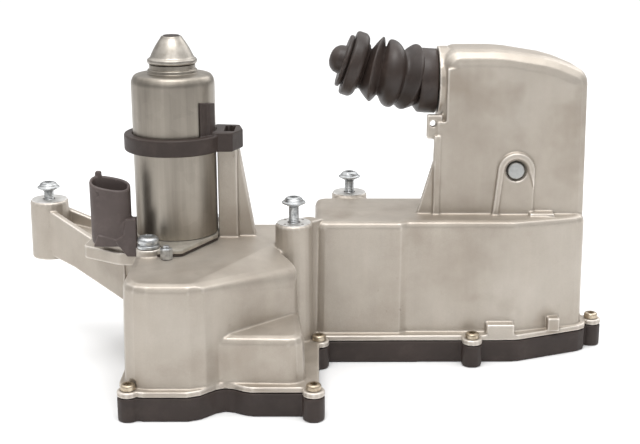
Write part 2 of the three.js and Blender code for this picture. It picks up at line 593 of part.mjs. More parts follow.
// ------------------------------------------------------------------- assembly
const CAST = { color: 0xb4aa9b, roughness: 0.5, metalness: 0.6 };
const DARK_PLASTIC = { color: 0x3f3836, roughness: 0.55, metalness: 0 };
const GALVANISED = { color: 0x9a978c, roughness: 0.35, metalness: 0.9 };
const BRIGHT = { color: 0xc4c8cc, roughness: 0.3, metalness: 0.95 };
const STEEL = { color: 0x8f9499, roughness: 0.4, metalness: 0.9 };
const RUBBER = { color: 0x322b29, roughness: 0.7, metalness: 0 };
const BRASS = { color: 0xb58f4a, roughness: 0.4, metalness: 0.9 };
const COPPER = { color: 0xa4613a, roughness: 0.45, metalness: 0.8 };
const NYLON = { color: 0xd8d2c2, roughness: 0.6, metalness: 0 };
const GREEN = { color: 0x1f5a3a, roughness: 0.6, metalness: 0 };

const actuator = new THREE.Group();
function add(name, body, finish) {
  const mesh = new THREE.Mesh(geometryOf(body), new THREE.MeshStandardMaterial(finish));
  mesh.name = name;
  actuator.add(mesh);
}

add('main_housing', mainHousing(), CAST);
add('bottom_cover', bottomCover(), DARK_PLASTIC);
add('cover_seal', coverSeal(), RUBBER);
COVER_SCREWS.forEach(([x, y], i) => {
  const body = screw({ shank: 1.9, length: 10, headR: 4, headH: 3 });
  add(`cover_screw_${i + 1}`, at(body, x, y, FLANGE_TOP + GAP), BRIGHT);
});
for (const { name, x, y, lift } of MOUNT_BOSSES) {
  const body = screw({ shank: 3, length: 28, headR: 5.2, headH: 2.9, washerR: 6.8, washerH: 1 }, 14);
  add(`mounting_screw_${name}`, at(body, x, y, BOSS_TOP + lift), BRIGHT);
}

add('motor_gasket', motorPlate(BULGE_TOP + GAP, 74.3, 9), RUBBER);
add('motor_flange', motorPlate(74.6, 76.9, 8.6), GALVANISED);
add('motor_can', motorCan(), GALVANISED);
add('motor_cone', motorCone(), BRIGHT);
add('cone_plug', at(rod(3.2, 186.3, 190.7, 14), MOTOR.x, MOTOR.y), DARK_PLASTIC);
const motorScrew = { shank: 2.9, length: 12, headR: 5.4, headH: 5, washerR: 6.2, washerH: 1.6 };
add('motor_screw_front', at(screw(motorScrew, 14), ...MOTOR_SCREWS.front, 77.3), BRIGHT);
const rearScrew = { shank: 2, length: 6, headR: 4, headH: 3 };
add('motor_screw_back', at(screw(rearScrew), ...MOTOR_SCREWS.back, 77.2), BRIGHT);
const earthStud = rod(EARTH_STUD.r, BULGE_TOP + GAP, EARTH_STUD.top, 6);
add('earth_stud', at(earthStud, EARTH_STUD.x, EARTH_STUD.y), BRIGHT);
add('magnet_left', magnet(110, 250), STEEL);
add('magnet_right', magnet(-70, 70), STEEL);
add('brush_holder', at(ring(10.4, 21.5, 80, 90), MOTOR.x, MOTOR.y), NYLON);
add('brush_left', box(MOTOR.x - 10, MOTOR.x - 6.6, MOTOR.y - 2, MOTOR.y + 2, 82, 88), STEEL);
add('brush_right', box(MOTOR.x + 6.6, MOTOR.x + 10, MOTOR.y - 2, MOTOR.y + 2, 82, 88), STEEL);
add('shaft_bearing_lower', at(ring(4.2, 8.1, 63, 70, 16), MOTOR.x, MOTOR.y), STEEL);
add('shaft_bearing_upper', at(ring(3.2, 8.3, 161, 166.6, 16), MOTOR.x, MOTOR.y), STEEL);
add('worm_shaft', wormShaft(), STEEL);
add('armature_core', at(ring(3.2, 16, 97, 137), MOTOR.x, MOTOR.y), STEEL);
add('winding_lower', at(ring(3.2, 14.5, 91.5, 96.7), MOTOR.x, MOTOR.y), COPPER);
add('winding_upper', at(ring(3.2, 14.5, 137.3, 143), MOTOR.x, MOTOR.y), COPPER);
add('commutator', at(ring(3.2, 6.3, 80.5, 91.2, 16), MOTOR.x, MOTOR.y), COPPER);

add('worm_wheel', wormWheel(), BRASS);
add('crank_pin', alongY(rod(CRANK.pin, 0, 26, 12), CRANK_PIN.x, 17, CRANK_PIN.z), STEEL);
add('wheel_axle', alongY(rod(5, 0, 44.5, 16), WHEEL.x, 6, WHEEL.z), STEEL);
add('thrust_rod', thrustRod(), STEEL);
add('rod_bush_left', alongX(ring(5.2, 6.7, 0, 6.4, 16), 2.3, ROD.y, ROD.z), BRASS);
add('rod_bush_right', alongX(ring(5.2, 6.7, 0, 7.4, 16), 84.3, ROD.y, ROD.z), BRASS);
add('compensation_spring', spring(), STEEL);
add('cross_pin', alongY(rod(ROCKER.pin, 0, 43), ROCKER.x, 29, ROCKER.z), STEEL);
add('rocker_spacer_front', alongY(ring(5.3, 8, 0, 10.4, 16), ROCKER.x, 35.3, ROCKER.z), BRASS);
add('rocker_spacer_back', alongY(ring(5.3, 8, 0, 4.4, 16), ROCKER.x, 58.3, ROCKER.z), BRASS);
add('rocker', rocker(), STEEL);
add('push_rod', pushRod(), STEEL);
add('guide_bush', alongPush(ring(5.2, 10, -11.5, -2.3)), BRASS);
add('thrust_disc', thrustDisc(), RUBBER);
add('tip_cap', tipCap(), RUBBER);
add('bellows', bellows(), RUBBER);

add('strap_clamp', strapClamp(), DARK_PLASTIC);
add('connector_shell', connectorShell(), DARK_PLASTIC);
add('terminal_block', terminalBlock(), BRASS);
const { x0, x1, y0, y1, z0, z1 } = BOARD;
add('circuit_board', box(x0, x1, y0, y1, z0, z1), GREEN);
add('capacitor_left', at(rod(6, z1 + GAP, 34, 14), -72, -38), BRIGHT);
add('capacitor_right', at(rod(6, z1 + GAP, 34, 14), -54, -38), BRIGHT);

export default actuator;
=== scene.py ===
"""Looks of the clutch actuator: fine meshes, procedural materials, light and camera.

Lengths are in millimetres of the part's own frame and MM turns them into metres.
"""

import json
import math

import bmesh
import bpy
from mathutils import Matrix, Vector


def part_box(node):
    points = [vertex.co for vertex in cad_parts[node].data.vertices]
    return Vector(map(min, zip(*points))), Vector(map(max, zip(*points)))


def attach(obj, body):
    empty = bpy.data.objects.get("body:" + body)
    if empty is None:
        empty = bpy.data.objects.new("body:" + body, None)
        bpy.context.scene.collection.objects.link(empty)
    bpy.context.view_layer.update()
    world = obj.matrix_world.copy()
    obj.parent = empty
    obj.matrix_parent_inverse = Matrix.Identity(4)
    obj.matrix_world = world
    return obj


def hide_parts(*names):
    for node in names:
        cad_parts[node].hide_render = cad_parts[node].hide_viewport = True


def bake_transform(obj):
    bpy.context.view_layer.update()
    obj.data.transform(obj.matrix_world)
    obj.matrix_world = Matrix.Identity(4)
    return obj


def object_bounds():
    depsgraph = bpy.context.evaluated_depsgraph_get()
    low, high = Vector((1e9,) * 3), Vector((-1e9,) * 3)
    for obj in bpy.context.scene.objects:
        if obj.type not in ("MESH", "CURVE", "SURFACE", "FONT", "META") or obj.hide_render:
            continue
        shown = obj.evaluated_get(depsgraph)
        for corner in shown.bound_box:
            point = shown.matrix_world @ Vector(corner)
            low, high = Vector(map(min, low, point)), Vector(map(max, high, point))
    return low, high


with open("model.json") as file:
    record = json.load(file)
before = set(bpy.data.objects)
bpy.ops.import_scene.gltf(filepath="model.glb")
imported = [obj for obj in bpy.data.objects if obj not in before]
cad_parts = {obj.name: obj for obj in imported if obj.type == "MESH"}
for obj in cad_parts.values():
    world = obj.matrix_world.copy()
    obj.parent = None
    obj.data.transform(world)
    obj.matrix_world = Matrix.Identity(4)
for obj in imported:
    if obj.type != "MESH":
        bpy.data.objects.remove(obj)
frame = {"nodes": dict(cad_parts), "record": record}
CAD_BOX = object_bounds()
NODES = frame["nodes"]
MM = 0.001
TURN = 2 * math.pi


# ---------------------------------------------------------------- materials
class Look:
    """One Principled material with a small procedural network."""

    def __init__(self, name, metallic, roughness, base=None):
        self.material = bpy.data.materials.new(name)
        self.material.use_nodes = True
        self.tree = self.material.node_tree
        self.shader = self.tree.nodes["Principled BSDF"]
        self.shader.inputs["Metallic"].default_value = metallic
        self.shader.inputs["Roughness"].default_value = roughness
        if base:
            self.shader.inputs["Base Color"].default_value = (*base, 1)
        self.place = self.node("ShaderNodeTexCoord").outputs["Object"]

    def node(self, kind, **values):
        made = self.tree.nodes.new(kind)
        for key, value in values.items():
            if key in made.inputs:
                made.inputs[key].default_value = value
            else:
                setattr(made, key, value)
        return made

    def join(self, out, into):
        self.tree.links.new(out, into)

    def noise(self, scale, detail=4.0, rough=0.55, stretch=(1, 1, 1), seed=0.0):
        mapping = self.node("ShaderNodeMapping")
        mapping.inputs["Scale"].default_value = stretch
        mapping.inputs["Location"].default_value = (seed, seed * 0.7, seed * 1.3)
        self.join(self.place, mapping.inputs["Vector"])
        made = self.node("ShaderNodeTexNoise", Scale=scale, Detail=detail, Roughness=rough)
        self.join(mapping.outputs["Vector"], made.inputs["Vector"])
        return made.outputs["Fac"]

    def ramp(self, fac, stops):
        made = self.node("ShaderNodeValToRGB")
        elements = made.color_ramp.elements
        while len(elements) < len(stops):
            elements.new(0.5)
        for element, (at, colour) in zip(elements, stops):
            element.position = at
            rgb = colour if isinstance(colour, tuple) else (colour, colour, colour)
            element.color = (*rgb, 1)
        self.join(fac, made.inputs["Fac"])
        return made.outputs["Color"]

    def mix(self, fac, a, b, mode="MIX"):
        made = self.node("ShaderNodeMix", data_type="RGBA", blend_type=mode)
        for value, socket in ((fac, made.inputs[0]), (a, made.inputs[6]), (b, made.inputs[7])):
            if hasattr(value, "is_linked"):
                self.join(value, socket)
            else:
                socket.default_value = value if isinstance(value, float) else (*value, 1)
        return made.outputs[2]

    def colour(self, out):
        self.join(out, self.shader.inputs["Base Color"])

    def roughness(self, fac, low, high):
        made = self.node("ShaderNodeMapRange")
        made.inputs["To Min"].default_value = low
        made.inputs["To Max"].default_value = high
        self.join(fac, made.inputs["Value"])
        self.join(made.outputs["Result"], self.shader.inputs["Roughness"])

    def bump(self, *layers):
        """Each layer is (height, depth in millimetres)."""
        normal = None
        for height, depth in layers:
            made = self.node("ShaderNodeBump", Strength=1.0, Distance=depth * MM)
            self.join(height, made.inputs["Height"])
            if normal:
                self.join(normal, made.inputs["Normal"])
            normal = made.outputs["Normal"]
        self.join(normal, self.shader.inputs["Normal"])

    def edges(self, low, high):
        """White on convex edges, black elsewhere."""
        point = self.node("ShaderNodeNewGeometry").outputs["Pointiness"]
        return self.ramp(point, [(low, 0.0), (high, 1.0)])

    def hollows(self, low, high):
        """White in inside corners, black elsewhere."""
        point = self.node("ShaderNodeNewGeometry").outputs["Pointiness"]
        return self.ramp(point, [(low, 1.0), (high, 0.0)])


def cast_aluminium():
    look = Look("cast_aluminium", 0.62, 0.46)
    clouds = look.ramp(look.noise(15, 5, 0.6), [
        (0.30, (0.345, 0.300, 0.252)), (0.50, (0.425, 0.380, 0.327)),
        (0.72, (0.480, 0.437, 0.384))])
    drawn = look.ramp(look.noise(60, 4, 0.6, stretch=(1, 1, 0.12), seed=1.7), [
        (0.35, 0.42), (0.70, 0.56)])
    body = look.mix(0.35, clouds, drawn, "OVERLAY")
    smudge = look.ramp(look.noise(27, 3, 0.5, seed=3.1), [(0.57, 0.0), (0.72, 0.5)])
    smudged = look.mix(smudge, body, (0.27, 0.222, 0.175))
    spots = look.ramp(look.noise(190, 3, 0.65, seed=9.4), [(0.66, 0.0), (0.74, 0.6)])
    patch = look.ramp(look.noise(9, 2, 0.5, seed=5.5), [(0.52, 0.0), (0.66, 1.0)])
    spotted = look.mix(look.mix(spots, (0, 0, 0), patch), smudged, (0.22, 0.19, 0.155))
    # Painted shade: the casting is darker in inside corners and creases, found by pointiness.
    hollow_shaded = look.mix(look.mix(look.hollows(0.44, 0.492), (0, 0, 0), (0.5, 0.5, 0.5)),
                     spotted, (0.24, 0.20, 0.155))
    # Painted highlight: the casting is lighter on convex edges, found by pointiness.
    edge_highlighted = look.mix(look.edges(0.508, 0.555), hollow_shaded, (0.74, 0.69, 0.63))
    grain = look.noise(2400, 2, 0.6)
    look.colour(look.mix(0.10, edge_highlighted, look.ramp(grain, [(0.3, 0.25), (0.7, 0.80)]), "OVERLAY"))
    look.roughness(look.noise(110, 4, 0.6, seed=7.0), 0.34, 0.54)
    look.bump((grain, 0.07), (look.noise(420, 3, 0.5), 0.07), (look.noise(48, 2, 0.5), 0.30))
    return look.material


def galvanised_steel():
    look = Look("galvanised_steel", 0.95, 0.3)
    streaks = look.noise(70, 4, 0.6, stretch=(1, 1, 0.05))
    tone = look.ramp(streaks, [(0.30, (0.21, 0.188, 0.160)), (0.55, (0.33, 0.298, 0.255)),
                               (0.75, (0.43, 0.392, 0.342))])
    cells = look.node("ShaderNodeTexVoronoi", Scale=170.0)
    look.join(look.place, cells.inputs["Vector"])
    spangle = look.ramp(cells.outputs["Color"], [(0.0, 0.40), (1.0, 0.58)])
    look.colour(look.mix(0.30, tone, spangle, "OVERLAY"))
    look.roughness(look.noise(90, 4, 0.65, stretch=(1, 1, 0.2)), 0.30, 0.46)
    look.bump((look.noise(900, 2, 0.5), 0.025), (streaks, 0.05))
    return look.material


def plated(name, tint, dark, rough=(0.16, 0.36)):
    look = Look(name, 0.96, 0.25)
    patches = look.noise(300, 4, 0.6)
    tone = look.ramp(patches, [(0.3, dark), (0.6, tint)])
    # Painted shade: the plating is darker in hollows and recesses, found by pointiness.
    hollow_shade = look.mix(look.hollows(0.40, 0.48), (0, 0, 0), (0.8, 0.8, 0.8))
    look.colour(look.mix(hollow_shade, tone, tuple(0.3 * c for c in dark)))
    look.roughness(look.noise(500, 3, 0.6, seed=2.0), *rough)
    look.bump((look.noise(1500, 2, 0.5), 0.02))
    return look.material


def moulded(name, dark, light, rough=(0.42, 0.6), grain=0.05, dust_and_edge_highlight=0.25):
    look = Look(name, 0.0, 0.5)
    look.shader.inputs["Specular IOR Level"].default_value = 0.38
    tone = look.ramp(look.noise(28, 4, 0.6), [(0.3, dark), (0.75, light)])
    dusty = look.ramp(look.noise(90, 5, 0.7, seed=5.0), [(0.50, 0.0), (0.8, dust_and_edge_highlight)])
    # Random dust spots plus painted highlight: every convex edge is lightened by the same amount as
    # the dust.
    edge = look.mix(look.edges(0.515, 0.60), dusty, (dust_and_edge_highlight, dust_and_edge_highlight, dust_and_edge_highlight), "ADD")
    look.colour(look.mix(edge, tone, tuple(min(1.0, 3.0 * c + 0.03) for c in light)))
    look.roughness(look.noise(240, 3, 0.6), *rough)
    look.bump((look.noise(2200, 2, 0.6), grain), (look.noise(300, 2, 0.5), grain))
    return look.material


def metal(name, low, high, rough):
    look = Look(name, 0.92, rough)
    tone = look.noise(240, 4, 0.6)
    look.colour(look.ramp(tone, [(0.3, low), (0.7, high)]))
    look.roughness(tone, rough - 0.08, rough + 0.1)
    look.bump((look.noise(1200, 2, 0.5), 0.02))
    return look.material


LOOKS = {
    "cast_aluminium": cast_aluminium(),
    "galvanised_steel": galvanised_steel(),
    "bright_zinc": plated("bright_zinc", (0.54, 0.55, 0.55), (0.30, 0.31, 0.32), (0.26, 0.46)),
    "plain_steel": metal("plain_steel", (0.34, 0.38, 0.42), (0.50, 0.55, 0.60), 0.34),
    "cover_plastic": moulded("cover_plastic", (0.023, 0.015, 0.012), (0.040, 0.027, 0.0225),
                             dust_and_edge_highlight=0.14),
    "connector_plastic": moulded("connector_plastic", (0.056, 0.042, 0.039),
                                 (0.098, 0.076, 0.070), dust_and_edge_highlight=0.14),
    "rubber": moulded("rubber", (0.020, 0.013, 0.0105), (0.040, 0.028, 0.023),
                      (0.32, 0.52), 0.03, 0.18),
    "bronze": metal("bronze", (0.45, 0.30, 0.12), (0.62, 0.44, 0.21), 0.35),
    "copper": metal("copper", (0.42, 0.18, 0.09), (0.60, 0.28, 0.15), 0.4),
    "nylon": moulded("nylon", (0.55, 0.51, 0.42), (0.72, 0.68, 0.58), (0.45, 0.6), 0.03, 0.0),
    "circuit": moulded("circuit", (0.015, 0.10, 0.05), (0.03, 0.16, 0.08), (0.35, 0.5), 0.03, 0.0),
}
YELLOW_ZINC = plated("yellow_zinc", (0.56, 0.48, 0.37), (0.30, 0.24, 0.17), (0.22, 0.42))
ZINC_SHEET = metal("zinc_sheet", (0.46, 0.43, 0.38), (0.62, 0.59, 0.53), 0.48)
MACHINED = metal("machined_face", (0.62, 0.60, 0.57), (0.78, 0.77, 0.75), 0.40)
# Painted shade: a dark metal for the punch marks, standing in for the shade inside the dents.
PUNCH_SHADE = metal("punch_mark_shade", (0.12, 0.105, 0.09), (0.20, 0.175, 0.15), 0.6)
SPUN_STEEL = metal("spun_steel", (0.29, 0.265, 0.23), (0.42, 0.39, 0.35), 0.36)
SLOT_OF = {row["node"]: row["material_slot"] for row in frame["record"]["subparts"]}
BODY_OF = {node: body for body, nodes in frame["record"]["behaviour"]["bodies"].items()
           for node in nodes}


# ------------------------------------------------------------------ helpers
def finish_piece(obj, node, look=None, angle=35, rides=True):
    """Smooth shading with sharp edges kept, material, body and the CAD node it stands for."""
    mesh = obj.data
    mesh.materials.clear()
    mesh.materials.append(look or LOOKS[SLOT_OF[node]])
    mesh.shade_smooth()
    mesh.set_sharp_from_angle(angle=math.radians(angle))
    if rides:
        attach(obj, BODY_OF[node])
    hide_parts(node)


def linked(name, data):
    """A new object in the scene."""
    obj = bpy.data.objects.new(name, data)
    bpy.context.scene.collection.objects.link(obj)
    return obj


def object_of(name, verts, faces):
    mesh = bpy.data.meshes.new(name)
    mesh.from_pydata([tuple(c * MM for c in v) for v in verts], [], faces)
    mesh.validate()
    obj = linked(name, mesh)
    bm = bmesh.new()
    bm.from_mesh(mesh)
    bmesh.ops.recalc_face_normals(bm, faces=bm.faces)
    bm.to_mesh(mesh)
    bm.free()
    return obj


def apply_modifiers(obj):
    graph = bpy.context.evaluated_depsgraph_get()
    done = bpy.data.meshes.new_from_object(obj.evaluated_get(graph))
    obj.modifiers.clear()
    obj.data = done


def rings(name, loops, closed=False):
    """Skins equal loops of points in order; the ends are capped unless the row is closed."""
    count = len(loops[0])
    verts = [p for loop in loops for p in loop]
    faces = []
    last = len(loops) if closed else len(loops) - 1
    for i in range(last):
        a, b = i * count, (i + 1) % len(loops) * count
        faces += [(a + k, a + (k + 1) % count, b + (k + 1) % count, b + k) for k in range(count)]
    if not closed:
        faces.append(tuple(range(count)))
        faces.append(tuple(range((len(loops) - 1) * count, len(loops) * count)))
    return object_of(name, verts, faces)


def spline(p0, p1, p2, p3, t):
    """Catmull-Rom between p1 and p2, for tuples of numbers."""
    return tuple(0.5 * (2 * b + (c - a) * t + (2 * a - 5 * b + 4 * c - d) * t * t
                        + (3 * b - a - 3 * c + d) * t ** 3)
                 for a, b, c, d in zip(p0, p1, p2, p3))


def rounded_profile(corners, steps=4):
    """(radius, height, fillet) corners to points, each corner rounded by its own fillet."""
    out = []
    for i, (r, z, fillet) in enumerate(corners):
        if not fillet or i in (0, len(corners) - 1):
            out.append((r, z))
            continue
        here = Vector((r, z))
        before = (Vector(corners[i - 1][:2]) - here).normalized()
        after = (Vector(corners[i + 1][:2]) - here).normalized()
        a, b = here + before * fillet, here + after * fillet
        for k in range(steps + 1):
            t = k / steps
            out.append(tuple(a * (1 - t) ** 2 + here * 2 * t * (1 - t) + b * t * t))
    return out


def lathe(name, profile, place=Matrix.Identity(4), segments=72, shape=None, closed=False):
    """Turns (radius, height) points about the local Z of place, in millimetres.

    shape(angle, radius, height) may change the radius, for threads, lobes and flats.
    """
    loops = []
    for r, z in profile:
        loop = []
        for k in range(segments):
            a = TURN * k / segments
            reach = max(shape(a, r, z) if shape else r, 0.01)
            loop.append(place @ Vector((reach * math.cos(a), reach * math.sin(a), z)))
        loops.append(loop)
    return rings(name, loops, closed)


def upright(x, y, z=0.0):
    return Matrix.Translation((x, y, z))


def along_x(x, y, z):
    return Matrix.Translation((x, y, z)) @ Matrix.Rotation(math.pi / 2, 4, "Y")


def along_y(x, y, z):
    return Matrix.Translation((x, y, z)) @ Matrix.Rotation(-math.pi / 2, 4, "X")


def low_of(node):
    return [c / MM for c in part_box(node)[0]]


def high_of(node):
    return [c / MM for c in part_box(node)[1]]


def centre_of(node):
    return [(a + b) / 2 for a, b in zip(low_of(node), high_of(node))]


def outline(corners, step=9):
    """Plan points from (x, y, radius) corners, each rounded by an arc."""
    out = []
    for i, (x, y, r) in enumerate(corners):
        here = Vector((x, y))
        before = (Vector(corners[i - 1][:2]) - here).normalized()
        after = (Vector(corners[(i + 1) % len(corners)][:2]) - here).normalized()
        if not r:
            out.append(here)
            continue
        half = math.acos(max(-1, min(1, before.dot(after)))) / 2
        start, end = here + before * (r / math.tan(half)), here + after * (r / math.tan(half))
        middle = here + (before + after).normalized() * (r / math.sin(half))
        a0 = math.atan2(*(start - middle).yx)
        turn = math.remainder(math.atan2(*(end - middle).yx) - a0, TURN)
        steps = max(2, round(abs(math.degrees(turn)) / step))
        for k in range(steps + 1):
            a = a0 + turn * k / steps
            out.append(middle + Vector((math.cos(a), math.sin(a))) * r)
    return out


def drawn_in(points, inset):
    """The outline moved inwards; it runs counter-clockwise."""
    out = []
    for i, here in enumerate(points):
        before = (here - points[i - 1]).normalized()
        after = (points[(i + 1) % len(points)] - here).normalized()
        normal = Vector((-(before.y + after.y), before.x + after.x)).normalized()
        grow = max(0.4, normal.dot(Vector((-after.y, after.x))))
        out.append(here + normal * (inset / grow))
    return out


def plate(name, points, z0, z1, edge=0.5):
    """A prism of the outline with softened top and bottom edges."""
    loops = []
    for z, inset in ((z0, edge), (z0 + 0.3 * edge, 0.3 * edge), (z0 + edge, 0),
                     (z1 - edge, 0), (z1 - 0.3 * edge, 0.3 * edge), (z1, edge)):
        loops.append([(p.x, p.y, z) for p in (drawn_in(points, inset) if inset else points)])
    return rings(name, loops)


def circle(x, y, radius, count=96):
    return [Vector((x + radius * math.cos(a), y + radius * math.sin(a)))
            for a in (TURN * k / count for k in range(count))]


def carve(obj, *tools):
    """Cuts the tools out of the object and throws them away."""
    for tool in tools:
        cutter = obj.modifiers.new("cut", "BOOLEAN")
        cutter.operation = "DIFFERENCE"
        cutter.solver = "EXACT"
        cutter.object = tool
    apply_modifiers(obj)
    for tool in tools:
        bpy.data.objects.remove(tool)


def merged(name, parts):
    """Several meshes in one object, which takes the first part's place."""
    bm = bmesh.new()
    for part in parts:
        bm.from_mesh(part.data)
    mesh = bpy.data.meshes.new(name)
    bm.to_mesh(mesh)
    bm.free()
    for part in parts:
        bpy.data.objects.remove(part)
    return linked(name, mesh)


def relax(obj, rounds):
    smooth = obj.modifiers.new("relax", "SMOOTH")
    smooth.factor = 0.5
    smooth.iterations = rounds


def thin_out(obj, keep):
    """Drops triangles until this share of them is left."""
    thin = obj.modifiers.new("thin", "DECIMATE")
    thin.ratio = keep


def fused(obj, voxel, rounds, keep=None):
    """One skin with every edge and corner rounded, as a mould leaves it."""
    remesh = obj.modifiers.new("remesh", "REMESH")
    remesh.mode = "VOXEL"
    remesh.voxel_size = voxel * MM
    relax(obj, rounds)
    if keep:
        thin_out(obj, keep)
    apply_modifiers(obj)
    return obj


def copy_of(node, name):
    return linked(name, NODES[node].data.copy())


# ------------------------------------------------------------- cast housing
VOXEL = {
    "housing": 0.62, "cover": 0.7, "small": 0.4}
housing = fused(copy_of("main_housing", "cast_housing"), VOXEL["housing"], 4, 0.28)
finish_piece(housing, "main_housing", angle=70)
tray = fused(copy_of("bottom_cover", "cover_tray"), VOXEL["cover"], 4, 0.35)
finish_piece(tray, "bottom_cover", angle=70)


# ------------------------------------------------------------------- screws
def threaded(radius, pitch, z0, z1, depth=0.35):
    """Radius of a right-hand screw thread that fades out at both ends."""
    def at(angle, z):
        fade = max(0.0, min(1.0, (z - z0) / pitch, (z1 - z) / pitch))
        phase = (z / pitch - angle / TURN) % 1
        return radius - depth * fade * abs(2 * phase - 1)
    return at


def screw(name, node, place, shank, length, pitch, head, recess, look=None):
    """Threaded shank, a head turned from `head` corners and a lobed recess in its top.

    recess is (mouth radius, depth, number of lobes, lobe size).
    """
    mouth, deep, count, size = recess
    thread = threaded(shank, pitch, -length, 0)
    rows = max(8, round(length / pitch * (7)))
    profile = [(shank * 0.6, -length - 0.8)]
    profile += [(shank, -length + length * k / rows) for k in range(rows + 1)]
    head_points = rounded_profile(head)
    top = head_points[-1][1]
    profile += head_points
    profile += [(mouth, top), (mouth * 0.96, top - 0.25), (mouth * 0.9, top - deep),
                (mouth * 0.3, top - deep * 1.15), (0, top - deep * 1.2)]

    def shape(angle, r, z):
        if z <= 0 and r == shank:
            return thread(angle, z)
        in_recess = z > top - deep * 1.3 and r <= mouth
        return r * (1 + size * math.cos(count * angle)) if in_recess else r

    finish_piece(lathe(name, profile, place, SCREW_SIDES, shape), node, look, angle=42)


SCREW_SIDES = 48
COVER_HEAD = [(4.0, 0, 0), (4.0, 2.0, 0.3), (3.5, 2.9, 0.6), (2.6, 3.0, 0)]
COVER_HEAD_TALL, MOUNT_HEAD_TALL = 3, 3.9
for i in range(1, 10):
    node = f"cover_screw_{i}"
    x, y, _ = centre_of(node)
    seat = high_of(node)[2] - COVER_HEAD_TALL
    spun = upright(x, y, seat) @ Matrix.Rotation(0.7 * i, 4, "Z")
    screw(f"cover_screw_fine_{i}", node, spun, 1.9, 10, 0.9, COVER_HEAD,
          (2.0, 1.5, 6, 0.14), YELLOW_ZINC)

MOUNT_HEAD = [(3.0, -1.6, 0), (4.6, -0.4, 0.8), (6.7, 0.5, 0.3), (6.8, 1.3, 0.4),
              (5.6, 1.7, 0.4), (5.2, 2.8, 1.0), (3.9, 4.0, 0.9), (2.9, 4.1, 0)]
for i, name in enumerate(("left", "middle", "back")):
    node = f"mounting_screw_{name}"
    x, y, _ = centre_of(node)
    seat = high_of(node)[2] - MOUNT_HEAD_TALL
    spun = upright(x, y, seat) @ Matrix.Rotation(0.5 + i, 4, "Z")
    screw(f"mounting_screw_fine_{name}", node, spun, 3.0, 28, 1.0, MOUNT_HEAD,
          (2.3, 2.0, 6, 0.16))

x, y, _ = centre_of("motor_screw_front")
STACKED_HEAD = [(2.9, 0, 0), (6.2, 0, 0.3), (6.2, 1.7, 0.4), (5.1, 1.9, 0.2), (5.1, 2.7, 0.2),
                (5.9, 2.9, 0.3), (5.9, 5.0, 0.6), (4.9, 6.2, 0.6), (3.7, 6.5, 0)]
screw("motor_screw_fine_front", "motor_screw_front", upright(x, y, 77.3), 2.9, 12, 1.0,
      STACKED_HEAD, (3.0, 2.4, 6, 0.10))
x, y, _ = centre_of("motor_screw_back")
screw("motor_screw_fine_back", "motor_screw_back", upright(x, y, 77.2), 2.0, 6, 0.8,
      COVER_HEAD, (2.0, 1.5, 6, 0.14))


def hexagon(angle, r, z):
    """Six flats: the radius falls towards the middle of each flat."""
    return r * math.cos(math.pi / 6) / math.cos((angle % (math.pi / 3)) - math.pi / 6)


x, y, _ = centre_of("earth_stud")
stud = [(1.0, 73.35), (3.3, 73.35), (3.4, 73.6), (3.4, 79.0), (3.1, 79.4), (2.2, 79.5)]
nut = lathe("stud_nut", stud, upright(x, y), 48, hexagon)
tip = lathe("stud_tip", rounded_profile([(1.7, 78, 0), (1.7, 80.9, 0.4), (0.3, 80.9, 0)]),
            upright(x, y), 36)
finish_piece(merged("earth_stud_fine", [nut, tip]), "earth_stud", angle=30)

# Each boss is machined flat round its bolt hole.
FACE_Z, FACE_HOLE = 86.06, 3.7
for name, reach in (("left", 10.6), ("middle", 9.6), ("back", 10.2)):
    x, y, _ = centre_of(f"mounting_screw_{name}")
    face = rounded_profile([(FACE_HOLE, 85.5, 0), (FACE_HOLE, FACE_Z, 0.1), (reach, FACE_Z, 0.1),
                            (reach, 85.5, 0)])
    finish_piece(lathe(f"boss_face_{name}", face, upright(x, y), 96, closed=True),
                 "main_housing", MACHINED, angle=30)

# The middle boss has four small punch marks round its screw: flat dark discs whose colour is
# painted shade in place of the dents.
x, y, _ = centre_of("mounting_screw_middle")
MARK = rounded_profile([(0.8, 85.9, 0), (0.8, 86.1, 0.05), (0.2, 86.1, 0)])
MARK_REACH = 7.1
marks = []
for k in range(4):
    angle = math.radians(45 + 90 * k)
    spot = upright(x + MARK_REACH * math.cos(angle), y + MARK_REACH * math.sin(angle))
    marks.append(lathe(f"mark_{k}", MARK, spot, 20))
finish_piece(merged("boss_marks_middle", marks), "main_housing", PUNCH_SHADE, angle=30)

# -------------------------------------------------------------------- motor
MOTOR_X, MOTOR_Y = centre_of("motor_can")[:2]
CAN_HOLE_R = 23.9                # the can's radius and a little clearance
motor_axis = upright(MOTOR_X, MOTOR_Y)
CAN = rounded_profile([
    (22.0, 77.2, 0), (23.5, 77.2, 0.25), (23.5, 165.2, 2.2), (21.6, 168.4, 1.4), (17.0, 169.3, 0.8),
    (14.1, 169.4, 0.4), (14.0, 171.2, 0.6), (12.9, 171.7, 0.2), (12.9, 174.0, 0.2), (4.0, 174.1, 0),
    (4.0, 167.0, 0), (8.6, 167.0, 0), (8.6, 160, 0), (10.5, 160, 0), (12.0, 166.5, 0),
    (20.5, 166.0, 0.5), (22.0, 163.0, 0.5)], steps=5)
can = lathe("motor_can_fine", CAN, motor_axis, 128, closed=True)
finish_piece(can, "motor_can", angle=40)
CONE = rounded_profile([
    (0, 174.5, 0), (13.5, 174.5, 0.4), (14.1, 175.6, 0.6), (13.8, 177.0, 0.5), (12.4, 177.9, 0.7),
    (9.5, 184.0, 4.0), (6.2, 188.6, 0.6), (5.7, 189.6, 0.3), (4.9, 189.7, 0.2), (4.8, 186.0, 0),
    (0, 186.0, 0)], steps=5)
finish_piece(lathe("motor_cone_fine", CONE, motor_axis, 96), "motor_cone", SPUN_STEEL, angle=40)
PLUG = rounded_profile([(0, 186.3, 0), (4.6, 186.3, 0), (4.6, 190.2, 0.5), (0, 190.7, 0)])
finish_piece(lathe("cone_plug_fine", PLUG, motor_axis, 40), "cone_plug")


